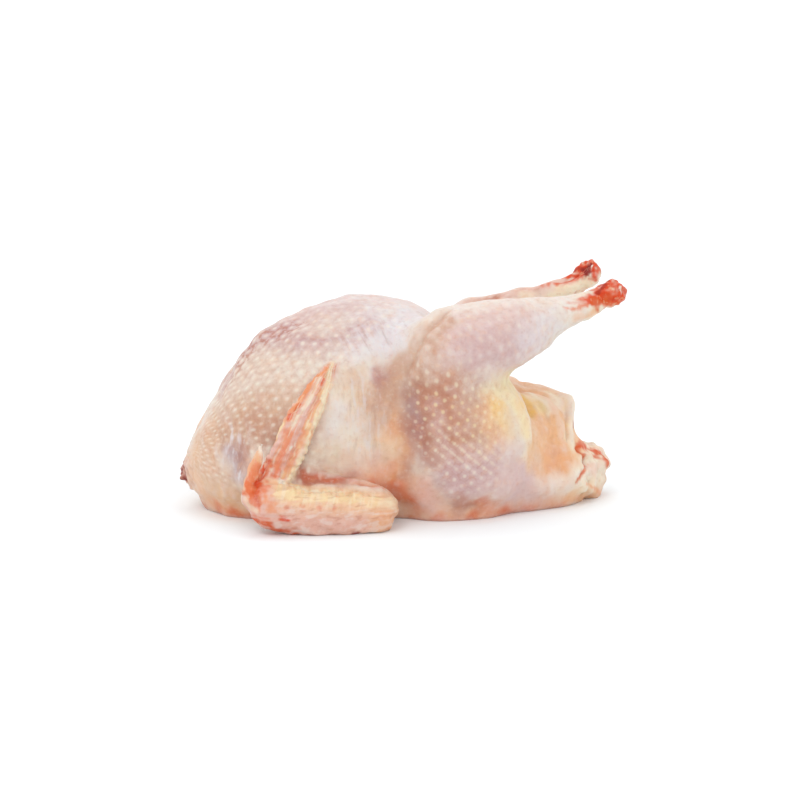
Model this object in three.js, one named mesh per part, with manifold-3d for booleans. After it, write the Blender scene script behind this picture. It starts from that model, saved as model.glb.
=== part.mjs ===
// A whole raw quail, plucked and drawn, lying on its back: breast up, wings folded beside it, legs free.
//
// Millimetres: +X towards the tail, +Z up out of the breast, Y across. The bird's two sides are named by
// where they lie: the near side is at -Y and the far side at +Y. The flattened back rests on z = 0. The
// finished part is moved so that its origin is the middle of its bounding box, at the base.
//
// The bird is one solid. Its skin is the zero level of a signed distance: rounded masses and limbs set on
// named joints, melted into each other with a smooth union. The level is walked with marching cubes on a
// fine grid, thinned to a mesh that follows the curvature, and trimmed flat where the bird rests.

import * as THREE from 'three';
import { MarchingCubes } from 'three/addons/objects/MarchingCubes.js';
import { SimplifyModifier } from 'three/addons/modifiers/SimplifyModifier.js';
import { mergeVertices } from 'three/addons/utils/BufferGeometryUtils.js';
import Module from 'manifold-3d';

// ---------------------------------------------------------------- driving dimensions

const NEAR = -1; // the side of the bird at -Y
const FAR = 1; // the side at +Y

// Rounded masses: the middle, the half sizes, and by how many degrees the nose, towards -X, dips and toes in.
const TRUNK = {
  breast: { at: [-19.3, 4, 23.8], radii: [36.6, 23.2, 25.4], dip: 32.5, toe: 6 }, // one lobe on each side
  crop: { at: [-40, 0, 11.5], radii: [15.5, 20, 13] },
  back: { at: [-8, 0, 11], radii: [43, 26, 14] },
  belly: { at: [17.5, 0, 16], radii: [31, 20.5, 16.5] },
  rump: { at: [25, 0, 7], radii: [27, 22, 10] },
};
const TAIL = { at: [46.6, 0, 7], radii: [7.8, 8.2, 7.4] };
const VENT = { at: [50, 0, 20], radii: [7.5, 10.5, 6] }; // the mouth of the opening, a shallow recess

// Stations along a limb are [x, y, z, radius], with y measured outwards from the middle of the bird.
const NECK = [
  [-38, 0, 12, 3.8],
  [-53.8, 0, 9.5, 3.8], // where it was cut
];
const LEGS = {
  [NEAR]: {
    thigh: { at: [9.5, 19.5, 18.5], radii: [19.5, 12.5, 20.5] },
    bones: [
      [12, 17, 18, 13], // hip
      [5.5, 22.5, 40, 11.2], // knee
      [15, 22.5, 43.8, 10.4],
      [25, 21, 47, 7.8], // calf
      [36.6, 17.5, 50.2, 4.4],
      [45, 15.2, 53, 3],
      [51.2, 14.2, 54.8, 2.8], // ankle
    ],
  },
  [FAR]: {
    thigh: { at: [11, 19.5, 17.5], radii: [19.5, 12.5, 19.5] },
    bones: [
      [14, 17, 16, 13],
      [8, 23, 34, 11],
      [15, 22.8, 38.5, 10.4],
      [24.5, 21, 42.6, 8.4],
      [35, 18, 47.8, 5],
      [45, 15.5, 52.4, 3],
      [51.2, 14, 57.2, 2.8],
    ],
  },
};
const KNUCKLES = { apart: 2.4, radius: 2.9 }; // the two round heads of the bone at the ankle

// The wing folds at the elbow and again at the wrist. The hand's stations are [x, z, radius, clearance]:
// from the wrist on they lean on the breast, with their middle that far off its skin.
const WING = {
  upper: [
    [-38, 19, 12.5, 7.5], // shoulder
    [-26, 26, 8.5, 6],
    [-13.5, 31.5, 6, 5.4], // elbow
  ],
  lower: [
    [-12.8, 33.2, 5, 5.3], // elbow
    [-25, 33.6, 5.5, 5.7],
    [-39, 33.2, 7.2, 5.1], // wrist
  ],
  wrist: [-40, 33.2, 9.5, 4.2],
  hand: [
    [-36.5, 14.5, 3.7, 4.6],
    [-33.8, 20.1, 3.5, 3],
    [-31.1, 26.1, 3.5, 1.8],
    [-28.4, 30.3, 3.1, 1.4],
    [-25.4, 35.1, 2.3, 1.1],
    [-21.4, 40.6, 0.5, 0.8], // tip
  ],
  thumb: [
    [-43.6, 33.2, 9, 2.4],
    [-43.2, 33.2, 14.5, 1.6],
    [-41.6, 33.2, 18.8, 1.3],
    [-40.6, 33.2, 22.4, 0.5], // claw
  ],
};
const HAND = { flat: 2.1, thinAlong: [0.15, 1, 0.35] }; // how many times wider than thick, and thin which way
const QUILLS = { count: 12, height: 0.35 }; // ridges along the upper edge of the forearm

// Creases between folds of loose skin, pressed into the belly along [x, z].
const CREASES = [
  { side: NEAR, path: [[28.5, 31], [32, 28.4], [35, 23], [36, 15]], radius: 0.9 },
  { side: NEAR, path: [[33.5, 30.8], [37.5, 28], [39.6, 22.5], [40.2, 18]], radius: 0.6 },
  { side: FAR, path: [[30, 31.2], [34, 28], [36.5, 22], [37, 13]], radius: 0.8 },
];

// How wide the fillets are where forms melt into each other.
const FILLET = {
  lobes: 5,
  crop: 4,
  back: 5,
  belly: 9,
  rump: 6,
  neck: 2,
  tail: 2,
  vent: 2,
  crease: 2,
  hip: 5,
  knee: 5,
  knuckles: 1,
  shoulder: 1.5,
  elbow: 3,
  wrist: 1.5,
  thumb: 0.8,
  rest: 2.5, // all round the flat the bird lies on
};

const TRIM = 0.1; // how much is trimmed from the underside to leave it flat
const ARC_STEPS = 5; // straight pieces between two stations of a limb
const OUT_OF_REACH = 12; // past this a limb's bounding sphere stands for it: more than any fillet

// The grid that the distance is sampled on, and how many vertices the thinned mesh keeps.
const GRID = { cells: 128, block: 8, centre: [-1, 0, 29.5], half: [60, 42, 34], maxTriangles: 250000 };
const VERTICES = 5600;

// ---------------------------------------------------------------- distances, negative inside

const { clamp, degToRad, lerp, smoothstep } = THREE.MathUtils;

// Joins two distances with a fillet about as wide as `width`.
function melt(a, b, width) {
  const share = clamp(0.5 + (0.5 * (b - a)) / width, 0, 1);
  return lerp(b, a, share) - width * share * (1 - share);
}

// Takes b out of a, with a lip rounded the same way.
const carve = (a, b, width) => -melt(-a, b, width);

// An ellipsoid whose nose, towards -X, dips and toes in by so many degrees.
function ellipsoid({ at, radii, dip = 0, toe = 0 }, side = 1) {
  const turn = new THREE.Euler(0, degToRad(-dip), side * degToRad(toe), 'ZYX');
  const frame = new THREE.Matrix4().makeRotationFromEuler(turn);
  const [length, breadth, height] = [0, 1, 2].map((i) => new THREE.Vector3().setFromMatrixColumn(frame, i));
  return (x, y, z) => {
    const dx = x - at[0];
    const dy = y - side * at[1];
    const dz = z - at[2];
    const u = (dx * length.x + dy * length.y + dz * length.z) / radii[0];
    const v = (dx * breadth.x + dy * breadth.y + dz * breadth.z) / radii[1];
    const w = (dx * height.x + dy * height.y + dz * height.z) / radii[2];
    const k = Math.hypot(u, v, w);
    const slope = Math.hypot(u / radii[0], v / radii[1], w / radii[2]);
    return slope > 0 ? (k * (k - 1)) / slope : -Math.min(...radii);
  };
}

// A limb: round sections along a smooth path through its stations. A flat limb is thinner along one
// direction. `relief(along, up)` adds to the radius, from how far along the limb and how far up its
// section a point lies.
function limb(stations, { side = 1, flat = 1, thinAlong = [0, 1, 0], relief = () => 0 } = {}) {
  const path = new THREE.CatmullRomCurve3(stations.map(([x, y, z]) => new THREE.Vector3(x, side * y, z)));
  const places = stations.map((_, i) => i);
  const radii = new THREE.CubicInterpolant(places, stations.map((station) => station[3]), 1, [0]);
  const count = (stations.length - 1) * ARC_STEPS;
  const points = path.getPoints(count);
  const sizes = points.map((_, i) => radii.evaluate(i / ARC_STEPS)[0]);
  const reach = new THREE.Sphere().setFromPoints(points);
  reach.radius += Math.max(...sizes);
  const thin = new THREE.Vector3(thinAlong[0], side * thinAlong[1], thinAlong[2]).normalize();
  return (x, y, z) => {
    const away = Math.hypot(x - reach.center.x, y - reach.center.y, z - reach.center.z) - reach.radius;
    if (away > OUT_OF_REACH) return away;
    let nearest = Infinity;
    for (let i = 0; i < count; i++) {
      const a = points[i];
      const b = points[i + 1];
      const ex = b.x - a.x;
      const ey = b.y - a.y;
      const ez = b.z - a.z;
      const dot = (x - a.x) * ex + (y - a.y) * ey + (z - a.z) * ez;
      const t = clamp(dot / (ex * ex + ey * ey + ez * ez), 0, 1);
      const dx = x - a.x - t * ex;
      const dy = y - a.y - t * ey;
      const dz = z - a.z - t * ez;
      const squeeze = (dx * thin.x + dy * thin.y + dz * thin.z) ** 2 * (flat * flat - 1);
      const size = lerp(sizes[i], sizes[i + 1], t) + relief((i + t) / count, dz / Math.hypot(dx, dy, dz));
      nearest = Math.min(nearest, Math.sqrt(dx * dx + dy * dy + dz * dz + squeeze) - size);
    }
    return nearest;
  };
}

// How far out from the middle the skin of a form lies on one side, at (x, z).
function skinAt(form, side, x, z) {
  let [inside, outside] = [0, GRID.half[1]];
  while (outside - inside > 0.01) {
    const y = (inside + outside) / 2;
    if (form(x, side * y, z) < 0) inside = y;
    else outside = y;
  }
  return inside;
}

// ---------------------------------------------------------------- the bird

function trunk() {
  const [crop, back, belly, rump] = ['crop', 'back', 'belly', 'rump'].map((name) => ellipsoid(TRUNK[name]));
  const [nearLobe, farLobe] = [NEAR, FAR].map((side) => ellipsoid(TRUNK.breast, side));
  return (x, y, z) => {
    const breast = melt(nearLobe(x, y, z), farLobe(x, y, z), FILLET.lobes);
    const front = melt(melt(breast, crop(x, y, z), FILLET.crop), back(x, y, z), FILLET.back);
    const rear = melt(belly(x, y, z), rump(x, y, z), FILLET.rump);
    return melt(front, rear, FILLET.belly);
  };
}

// A channel that follows the skin of a form.
function crease({ side, path, radius }, form) {
  const stations = path.map(([x, z]) => [x, skinAt(form, side, x, z) + 0.3 * radius, z, radius]);
  return limb(stations, { side });
}

function leg(side) {
  const { thigh, bones } = LEGS[side];
  const [x, y, z] = bones.at(-1);
  const muscle = ellipsoid(thigh, side);
  const shaft = limb(bones, { side });
  const heads = [-0.5, 0.5].map((way) => {
    const at = [x, y + way * KNUCKLES.apart, z];
    return ellipsoid({ at, radii: Array(3).fill(KNUCKLES.radius) }, side);
  });
  return (x, y, z) => {
    const ends = (d, head) => melt(d, head(x, y, z), FILLET.knuckles);
    return melt(muscle(x, y, z), heads.reduce(ends, shaft(x, y, z)), FILLET.knee);
  };
}

function wing(side, body) {
  const lean = ([x, z, radius, clearance]) => [x, skinAt(body, side, x, z) + clearance, z, radius];
  const ridges = (along, up) =>
    QUILLS.height * Math.cos(2 * Math.PI * QUILLS.count * along) * smoothstep(up, 0, 0.7);
  const upper = limb(WING.upper, { side });
  const lower = limb(WING.lower, { side, relief: ridges });
  const hand = limb([WING.wrist, ...WING.hand.map(lean)], { side, ...HAND });
  const thumb = limb(WING.thumb, { side });
  return (x, y, z) => {
    const arm = melt(upper(x, y, z), lower(x, y, z), FILLET.elbow);
    return melt(melt(arm, hand(x, y, z), FILLET.wrist), thumb(x, y, z), FILLET.thumb);
  };
}

function quail() {
  const body = trunk();
  const creases = CREASES.map((one) => crease(one, body));
  const legs = [NEAR, FAR].map(leg);
  const wings = [NEAR, FAR].map((side) => wing(side, body));
  const neck = limb(NECK);
  const tail = ellipsoid(TAIL);
  const vent = ellipsoid(VENT);
  return (x, y, z) => {
    let d = body(x, y, z);
    for (const one of creases) d = carve(d, one(x, y, z), FILLET.crease);
    d = melt(d, neck(x, y, z), FILLET.neck);
    for (const one of legs) d = melt(d, one(x, y, z), FILLET.hip);
    d = carve(d, vent(x, y, z), FILLET.vent);
    d = melt(d, tail(x, y, z), FILLET.tail);
    for (const one of wings) d = melt(d, one(x, y, z), FILLET.shoulder);
    return carve(d, z, FILLET.rest);
  };
}

// ---------------------------------------------------------------- from distance to solid

const flesh = new THREE.MeshStandardMaterial({ color: 0xe4c3b2, roughness: 0.42, metalness: 0 });

// The zero level of a distance, as one closed geometry with shared vertices. A block of the grid that lies
// well off the level is sampled once, at its middle.
function levelOf(distance) {
  const { cells, block, centre, half, maxTriangles } = GRID;
  const cubes = new MarchingCubes(cells, flesh, false, false, maxTriangles);
  const place = (axis, i) => centre[axis] + half[axis] * ((2 * i) / cells - 1);
  const wellOff = 2.2 * block * Math.hypot(...half.map((size) => size / cells));
  for (let k = 0; k < cells; k += block)
    for (let j = 0; j < cells; j += block)
      for (let i = 0; i < cells; i += block) {
        const middle = distance(...[i, j, k].map((start, axis) => place(axis, start + block / 2)));
        for (let c = k; c < k + block; c++)
          for (let b = j; b < j + block; b++)
            for (let a = i; a < i + block; a++) {
              const off = Math.abs(middle) > wellOff;
              cubes.field[(c * cells + b) * cells + a] = off
                ? -middle
                : -distance(place(0, a), place(1, b), place(2, c));
            }
      }
  cubes.isolation = 0;
  cubes.update();
  const corners = new THREE.BufferAttribute(cubes.positionArray.slice(0, 3 * cubes.count), 3);
  const geometry = new THREE.BufferGeometry().setAttribute('position', corners);
  return mergeVertices(geometry, 1e-9).scale(...half).translate(...centre);
}

const wasm = await Module();
wasm.setup();

function solidOf(geometry) {
  const vertProperties = Float32Array.from(geometry.attributes.position.array);
  const triVerts = Uint32Array.from(geometry.index.array);
  return new wasm.Manifold(new wasm.Mesh({ numProp: 3, vertProperties, triVerts }));
}

function geometryOf(solid) {
  const { vertProperties, triVerts } = solid.getMesh();
  const geometry = new THREE.BufferGeometry();
  geometry.setAttribute('position', new THREE.BufferAttribute(vertProperties, 3));
  geometry.setIndex(new THREE.BufferAttribute(triVerts, 1));
  return geometry;
}

// A block that fills the grid's box up to z, with nothing but shared corners.
function slabBelow(z) {
  const [length, breadth, depth] = GRID.half.map((size) => 2 * size);
  const box = new THREE.BoxGeometry(length, breadth, depth).translate(GRID.centre[0], 0, z - depth / 2);
  box.deleteAttribute('normal');
  box.deleteAttribute('uv');
  return mergeVertices(box);
}

const fine = levelOf(quail());
const thinned = await new SimplifyModifier().modify(fine, fine.attributes.position.count - VERTICES);
const skin = geometryOf(solidOf(thinned).subtract(solidOf(slabBelow(TRIM))));
skin.computeBoundingBox();
const middle = skin.boundingBox.getCenter(new THREE.Vector3());
skin.translate(-middle.x, -middle.y, -skin.boundingBox.min.z);

const quailMesh = new THREE.Mesh(skin, flesh);
quailMesh.name = 'quail';

const group = new THREE.Group();
group.add(quailMesh);

export default group;
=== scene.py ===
"""A whole raw quail lying on its back: its skin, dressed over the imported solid, and a plain studio.

Lengths are in millimetres of the bird as the landmarks below count them, and MM turns them into
metres from the frame's box. Patterns are laid out on the near side and mirrored to the far one, so
their places are [x, out, z], with out counted from the middle of the bird to either side.
"""

import math
from collections import namedtuple
from functools import reduce

import bmesh
import bpy
import numpy as np
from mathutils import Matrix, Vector


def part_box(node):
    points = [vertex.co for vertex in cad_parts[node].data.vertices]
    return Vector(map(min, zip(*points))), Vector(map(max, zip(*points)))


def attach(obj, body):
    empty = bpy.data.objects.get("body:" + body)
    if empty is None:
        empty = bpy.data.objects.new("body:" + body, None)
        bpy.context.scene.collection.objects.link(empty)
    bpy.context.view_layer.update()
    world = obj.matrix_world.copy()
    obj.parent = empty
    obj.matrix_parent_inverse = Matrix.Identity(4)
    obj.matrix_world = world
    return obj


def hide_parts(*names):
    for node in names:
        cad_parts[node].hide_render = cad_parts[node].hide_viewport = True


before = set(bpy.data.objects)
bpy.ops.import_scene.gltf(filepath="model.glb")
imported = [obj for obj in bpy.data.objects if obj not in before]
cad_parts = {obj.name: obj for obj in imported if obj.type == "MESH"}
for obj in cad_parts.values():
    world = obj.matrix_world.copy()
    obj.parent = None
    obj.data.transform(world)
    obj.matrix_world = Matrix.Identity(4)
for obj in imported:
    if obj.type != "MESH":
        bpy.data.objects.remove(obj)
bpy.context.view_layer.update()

LOW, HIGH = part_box("quail")
LENGTH = 111.97  # from neck to ankles, as the landmarks count it
MM = (HIGH.x - LOW.x) / LENGTH

CELL = 0.72  # of the skin's mesh, halved where small forms show
WELD = 0.02  # corners of the solid that lie closer than this become one
SAG = 1.9  # how far the flesh sinks and spreads where it rests
FLATNESS = 2.1  # of the hand, which is that much thinner than it is wide
GAIN = 0.78  # how much darker the skin is painted than it looks in this light

# Colours as they look on a screen, from 0 to 255.
PALETTE = {
    "skin": (238, 221, 206),
    "pale": (245, 231, 222),
    "frost": (236, 229, 232),
    "lilac": (231, 199, 195),
    "mauve": (200, 158, 160),
    "slate": (188, 162, 168),
    "sand": (212, 168, 142),
    "tan": (228, 192, 162),
    "umber": (180, 130, 114),
    "russet": (206, 146, 118),
    "apricot": (247, 188, 140),
    "orange": (242, 152, 96),
    "coral": (238, 124, 76),
    "ember": (226, 92, 34),
    "rust": (184, 106, 78),
    "yellow": (255, 207, 116),
    "butter": (255, 234, 182),
    "cream": (253, 238, 210),
    "peach": (250, 204, 160),
    "pink": (238, 188, 172),
    "raw": (228, 66, 0),
    "blood": (142, 12, 0),
    "bone": (250, 242, 226),
}

# Chains of balls [x, out, z, radius] that the limbs follow.
FOREARM = [(-11.3, 33.2, 4.9, 5.3), (-23.5, 33.6, 5.4, 5.7), (-37.5, 33.2, 7.1, 5.1),
           (-38.5, 33.2, 9.4, 4.2)]
HAND = [(-38.0, 31.0, 10.0, 3.8), (-35.0, 28.2, 14.4, 3.7), (-32.3, 27.5, 20.0, 3.5),
        (-29.6, 26.8, 26.0, 3.5), (-26.9, 26.0, 30.2, 3.1), (-23.9, 24.8, 35.0, 2.3),
        (-19.9, 23.5, 40.5, 0.8)]
THUMB = [(-42.1, 33.2, 8.9, 2.4), (-41.7, 33.2, 14.4, 1.6), (-40.1, 33.2, 18.7, 1.3),
         (-39.1, 33.2, 22.3, 0.5)]
SHIN = [(5.0, 22.5, 39.0, 11.2), (16.5, 22.5, 43.7, 10.4), (26.5, 21.0, 46.9, 7.8),
        (38.1, 17.5, 50.1, 4.4), (46.5, 15.2, 52.9, 3.0), (52.7, 14.2, 54.7, 2.8)]
THIGH = [(12.0, 18.0, 18.0, 13.0), (9.0, 20.0, 30.0, 12.0), (9.0, 21.0, 38.0, 11.0)]
# At each height z, the x where the leg's front edge lies on the body.
LEG_FRONT = ((5.0, 20.0, 30.0, 35.0, 40.0, 43.6, 47.0, 50.0, 52.4, 54.0),
             (-4.0, -5.0, -5.5, -4.0, -2.1, -0.5, 1.6, 4.3, 7.8, 11.0))
# At each x, how far the near leg lies above the far one.
FAR_SHIN_RISE = ((7.0, 16.5, 26.3, 37.3, 46.5, 52.7), (6.0, 5.3, 4.3, 2.3, 0.6, -2.4))

LimbPlace = namedtuple("LimbPlace", "outside along across")


def smoothstep(low, high, value):
    share = np.clip((value - low) / (high - low), 0, 1)
    return share * share * (3 - 2 * share)


def bell(distance, width):
    return np.exp(-((distance / width) ** 2))


def noise(points, wavelength, seed, waves=28):
    """Smooth noise of unit spread: plane waves of about one length, each in a direction of its own."""
    random = np.random.default_rng(seed)
    direction = random.normal(size=(waves, 3))
    direction /= np.linalg.norm(direction, axis=1)[:, None]
    length = wavelength * random.uniform(0.75, 1.5, waves)
    phase = random.uniform(0, 2 * math.pi, waves)
    turns = points @ (direction * (2 * math.pi / length)[:, None]).T
    return np.clip(math.sqrt(2 / waves) * np.cos(turns + phase).sum(1), -2.5, 2.5)


def follow(points, chain, flat=1.0):
    """Where points are along a chain of balls: how far outside it and along it, and what share of the
    local radius to one side of it, seen from the side of the bird."""
    stations = np.array(chain, float)
    outside = np.full(len(points), 1e9)
    along, across = np.zeros(len(points)), np.zeros(len(points))
    start = 0.0
    squash = np.array([1, flat, 1])
    for a, b in zip(stations, stations[1:]):
        bone = b[:3] - a[:3]
        length = np.linalg.norm(bone)
        share = np.clip((points - a[:3]) @ bone / length**2, 0, 1)
        off = points - (a[:3] + share[:, None] * bone)
        radius = a[3] + share * (b[3] - a[3])
        gap = np.linalg.norm(off * squash, axis=1) - radius
        nearer = gap < outside
        outside = np.where(nearer, gap, outside)
        along = np.where(nearer, start + share * length, along)
        side = (off[:, 0] * bone[2] - off[:, 2] * bone[0]) / math.hypot(bone[0], bone[2])
        across = np.where(nearer, side / np.maximum(radius, 0.5), across)
        start += length
    return LimbPlace(outside, along, across)


def path_distance(points, path):
    """How far points are from a line through the given points."""
    if len(path) == 1:
        return np.linalg.norm(points - np.array(path[0], float), axis=1)
    return follow(points, [(*p, 0.0) for p in path]).outside


# ------------ the mesh


def added(name, data):
    """A new object in the scene."""
    made = bpy.data.objects.new(name, data)
    bpy.context.scene.collection.objects.link(made)
    return made


def shell_of(node):
    """A closed, even mesh over a CAD node, as a new object."""
    work = bmesh.new()
    work.from_mesh(node.data)
    bmesh.ops.remove_doubles(work, verts=work.verts, dist=WELD * MM)
    mesh = bpy.data.meshes.new("skin_start")
    work.to_mesh(mesh)
    work.free()
    start = added("skin_start", mesh)
    start.modifiers.new("rounder", "SUBSURF").levels = 1
    even = start.modifiers.new("even", "REMESH")
    even.mode = "VOXEL"
    even.voxel_size = CELL * MM
    evaluated = start.evaluated_get(bpy.context.evaluated_depsgraph_get())
    made = bpy.data.meshes.new_from_object(evaluated)
    bpy.data.objects.remove(start)
    made.name = "skin"
    refine(made)
    return added("skin", made)


def refine(mesh):
    """Halves the cells where small forms show: on the wings, the ankles, the tail and the neck."""
    points = corners_of(mesh)
    parts, _ = parts_of(pattern_place(points))
    rear = smoothstep(43, 45, points[:, 0])
    neck = 1 - smoothstep(-52.5, -51.5, points[:, 0])
    fine = np.maximum.reduce([parts["wing"], rear, neck]) > 0.5
    work = bmesh.new()
    work.from_mesh(mesh)
    edges = [edge for edge in work.edges if all(fine[corner.index] for corner in edge.verts)]
    bmesh.ops.subdivide_edges(work, edges=edges, cuts=1, use_grid_fill=True)
    work.to_mesh(mesh)
    work.free()


def corners_of(mesh):
    points = np.zeros(len(mesh.vertices) * 3, np.float32)
    mesh.vertices.foreach_get("co", points)
    return points.reshape(-1, 3).astype(float) / MM


def move_corners(mesh, points):
    mesh.vertices.foreach_set("co", (points * MM).astype(np.float32).ravel())
    mesh.update()


def normals_of(mesh):
    normals = np.zeros(len(mesh.vertices) * 3, np.float32)
    mesh.vertices.foreach_get("normal", normals)
    return normals.reshape(-1, 3).astype(float)


class Neighbours:
    """Averages over each corner's neighbours."""

    def __init__(self, mesh):
        edges = np.zeros(len(mesh.edges) * 2, np.int32)
        mesh.edges.foreach_get("vertices", edges)
        a, b = edges.reshape(-1, 2).T
        self.to, self.out = np.concatenate([a, b]), np.concatenate([b, a])
        self.count = np.maximum(np.bincount(self.to, minlength=len(mesh.vertices)), 1)

    def average(self, values):
        if values.ndim == 1:
            return np.bincount(self.to, values[self.out], len(self.count)) / self.count
        return np.stack([self.average(column) for column in values.T], 1)

    def smooth(self, values, rounds, strength=0.5, back=-0.53):
        """Takes out what is finer than the rounds reach, and keeps the size."""
        for step in range(2 * rounds):
            values = values + (strength if step % 2 == 0 else back) * (self.average(values) - values)
        return values


# ------------ where things are


def pattern_place(points):
    """Each point's place on the near side: mirrored, with the far leg laid on the near one."""
    place = points.copy()
    place[:, 1] = np.abs(points[:, 1])
    far = smoothstep(0.5, 3.0, points[:, 1])
    loose = far * (1 - smoothstep(36, 42, points[:, 0]))
    leg = smoothstep(26, 38, points[:, 2]) * smoothstep(2, 9, points[:, 0])
    place[:, 2] += far * leg * np.interp(points[:, 0], *FAR_SHIN_RISE)
    for axis, seed in ((0, 51), (2, 52)):
        place[:, axis] += 1.2 * loose * noise(points, 16, seed)
    return place


def parts_of(points):
    """How much each point belongs to each part, from 0 to 1, and its places along the limbs."""
    limbs = {
        "forearm": follow(points, FOREARM),
        "hand": follow(points, HAND, flat=FLATNESS),
        "thumb": follow(points, THUMB),
        "shin": follow(points, SHIN),
    }
    hand = (1 - smoothstep(0.5, 1.6, limbs["hand"].outside)) * smoothstep(9.0, 12.0, points[:, 2])
    thumb = (1 - smoothstep(0.2, 1.0, limbs["thumb"].outside)) * smoothstep(9.5, 12.0, points[:, 2])
    forearm = 1 - smoothstep(0.3, 1.3, limbs["forearm"].outside)
    shank = 1 - smoothstep(0.8, 3.0, limbs["shin"].outside)
    thigh = 1 - smoothstep(1.5, 5.0, follow(points, THIGH).outside)
    belly = smoothstep(26, 30, points[:, 0]) * (1 - smoothstep(33, 37, points[:, 2]))
    past_edge = points[:, 0] - np.interp(points[:, 2], *LEG_FRONT)
    parts = {
        "all": np.ones(len(points)),
        "hand": hand,
        "thumb": thumb * (1 - hand),
        "forearm": forearm * (1 - hand),
        "wing": np.maximum.reduce([forearm, hand, thumb]),
        "shin": shank * smoothstep(6, 16, limbs["shin"].along),
        "leg": np.maximum(thigh, shank) * smoothstep(-0.8, 0.8, past_edge) * (1 - belly),
    }
    parts["trunk"] = (1 - parts["wing"]) * (1 - parts["leg"])
    return parts, limbs


# ------------ formulas for arrays and for nodes


class Wire:
    """A number that flows through a material's nodes, so that formulas can be written as formulas."""

    def __init__(self, socket):
        self.socket = socket

    def math(self, operation, *others):
        node = self.socket.id_data.nodes.new("ShaderNodeMath")
        node.operation = operation
        for plug, value in zip(node.inputs, (self, *others)):
            connect(value, plug)
        return Wire(node.outputs[0])

    def __add__(self, other):
        return self.math("ADD", other)

    def __sub__(self, other):
        return self.math("SUBTRACT", other)

    def __mul__(self, other):
        return self.math("MULTIPLY", other)

    def __truediv__(self, other):
        return self.math("DIVIDE", other)

    def __rsub__(self, other):
        return self * -1 + other


def connect(value, plug):
    """Links a wire to an input, or sets the input to a plain number or colour."""
    if isinstance(value, Wire):
        plug.id_data.links.new(value.socket, plug)
    else:
        plug.default_value = value


def below(value):
    return value.math("FLOOR") if isinstance(value, Wire) else np.floor(value)


def part_of(value):
    return value - below(value)


# By how much a follicle's own two numbers go on with each column and each row: steps that spread them
# evenly and show no pattern.
STEPS = ((0.7549, 0.5698), (0.3247, 0.8191))


def nearest_follicle(u, v, pitch, spacing, wander=0.12):
    """Offsets from the nearest follicle of a staggered lattice, and a number from 0 to 1 of its own."""
    row = below(v / spacing + 0.5)
    shift = part_of(row * 0.5)
    column = below(u / pitch - shift + 0.5)
    own, other = (part_of(column * by_column + row * by_row) for by_column, by_row in STEPS)
    return (
        u - (column + shift + (own - 0.5) * wander) * pitch,
        v - (row + (other - 0.5) * wander) * spacing,
        own,
    )


# ------------ feather tracts

FOLLICLE = {"radius": 0.7, "height": 0.13}  # of the bump that each feather leaves

# Where the breast has no follicles: over what width, and along which points.
BARE = [
    (9.0, [(-14, 27, 9), (0, 27, 8)]),
    (9.5, [(-15, 27, 16), (-14, 27, 30)]),
    (7.0, [(-6, 24, 42), (-3, 27, 20)]),
    (8.0, [(-48, 10, 4), (-30, 20, 2), (0, 20, 0)]),
    (4.5, [(-44.5, 18, 17), (-43, 24, 12)]),
]


def shin_share(x, z):
    """From 0 on the thigh to 1 on the shin."""
    return smoothstep(36, 42, z + 0.25 * (x - 8))


def breast_tract(place, parts):
    """Along the bird and around it, as on a barrel."""
    x, out, z = place.T
    half_length, middle = 43.0, -17.0
    girth_radius, axis_height = 31.0, 16.0
    run = half_length * np.arcsin(np.clip((x - middle) / half_length, -0.97, 0.97))
    girth = np.arctan2(z - axis_height, out) * girth_radius
    bare = np.maximum.reduce([bell(path_distance(place, path), width) for width, path in BARE])
    shown = parts["trunk"] * (1 - smoothstep(0.15, 0.6, bare)) * (1 - 0.45 * smoothstep(44, 52, z))
    return run, girth, shown * (1 - smoothstep(-4, 2, x)) * smoothstep(-56, -50, x)


def thigh_tract(place, parts):
    """Spread out over a dome, with equal steps from its top."""
    x, out, z = place.T
    radius, middle = 21.0, (11.0, 11.0, 24.0)
    across, deep, up = x - middle[0], np.maximum(out - middle[1], 0.1), z - middle[2]
    reach = np.hypot(across, up) + 1e-6
    turn = np.arctan2(reach, deep) * radius / reach
    shown = parts["leg"] * (1 - shin_share(x, z)) * (1 - smoothstep(17, 26, x))
    return across * turn, up * turn, shown * smoothstep(2, 7, z) * smoothstep(-5, 0, x)


def shin_tract(place, parts):
    """Along the bone and around it."""
    x, _, z = place.T
    radius, fullness = 10.0, 3.0
    knee, ankle = np.array(SHIN[0][:3]), np.array(SHIN[-1][:3])
    bone = (ankle - knee) / np.linalg.norm(ankle - knee)
    along = (place - knee) @ bone
    off = place - (knee + along[:, None] * bone)
    lift = off[:, 2] * bone[0] - off[:, 0] * bone[2]
    around = np.arctan2(lift, np.maximum(off[:, 1], -fullness) + fullness) * radius
    return along, around, 0.45 * parts["leg"] * shin_share(x, z) * (1 - smoothstep(30, 42, along))


# For each tract: how it is laid out, the lattice's steps and bearing, and the size of the pale spots.
TRACTS = {
    "breast": {"layout": breast_tract, "pitch": 3.05, "spacing": 2.5, "bearing": -19, "spot": 0.8},
    "thigh": {"layout": thigh_tract, "pitch": 2.3, "spacing": 2.1, "bearing": -40, "spot": 0.66},
    "shin": {"layout": shin_tract, "pitch": 2.7, "spacing": 2.35, "bearing": 0, "spot": 0.8},
}


def tracts_of(place, parts):
    """For each tract: the two coordinates of its lattice, and how strongly its follicles show."""
    made = {}
    for name, tract in TRACTS.items():
        u, v, shown = tract["layout"](place, parts)
        bearing = math.radians(tract["bearing"])
        run = u * math.cos(bearing) + v * math.sin(bearing)
        rise = v * math.cos(bearing) - u * math.sin(bearing)
        made[name] = np.stack([run, rise, shown], 1)
    return made


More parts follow.
